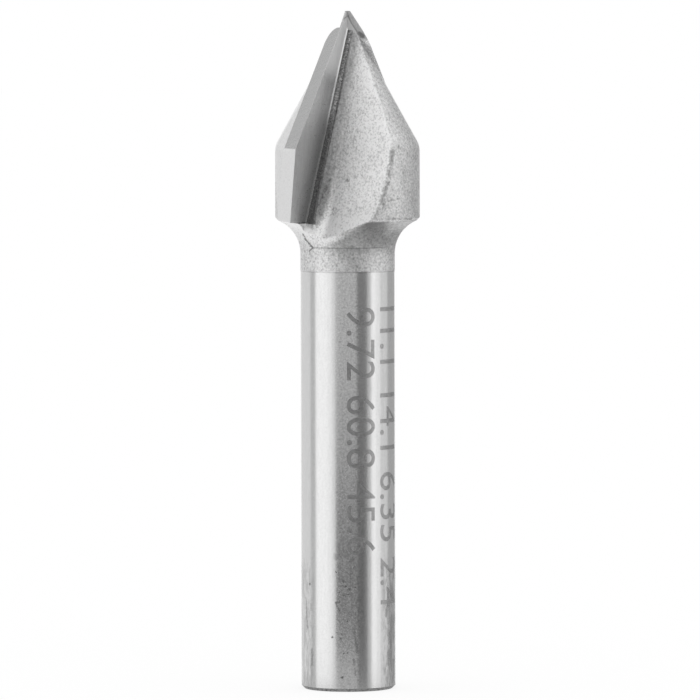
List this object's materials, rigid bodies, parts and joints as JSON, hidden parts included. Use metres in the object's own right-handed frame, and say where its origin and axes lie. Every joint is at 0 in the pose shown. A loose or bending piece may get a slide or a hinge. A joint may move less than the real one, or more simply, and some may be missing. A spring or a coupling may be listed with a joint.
{
  "type": "v groove router bit",
  "caption": "Router bit with a plain round shank and a pointed head whose two brazed carbide tips cut a sixty degree V groove.",
  "frame": {"origin": "centre of the shank's flat end face", "axes": "+Z along the turning axis, from the shank end to the point; tip b's cutting edge lies towards +X and tip a's towards -X"},
  "size_m": [0.011, 0.0098, 0.0456],
  "materials": {
    "tool_steel": "ground shank, blasted neck and head",
    "carbide": "ground tungsten carbide, dark grey",
    "braze": "dull silver solder seam"
  },
  "bodies": {
    "root": {"body": "tool_steel", "carbide_tip_a": "carbide", "carbide_tip_b": "carbide", "braze_seam_a": "braze", "braze_seam_b": "braze"}
  },
  "joints": []
}
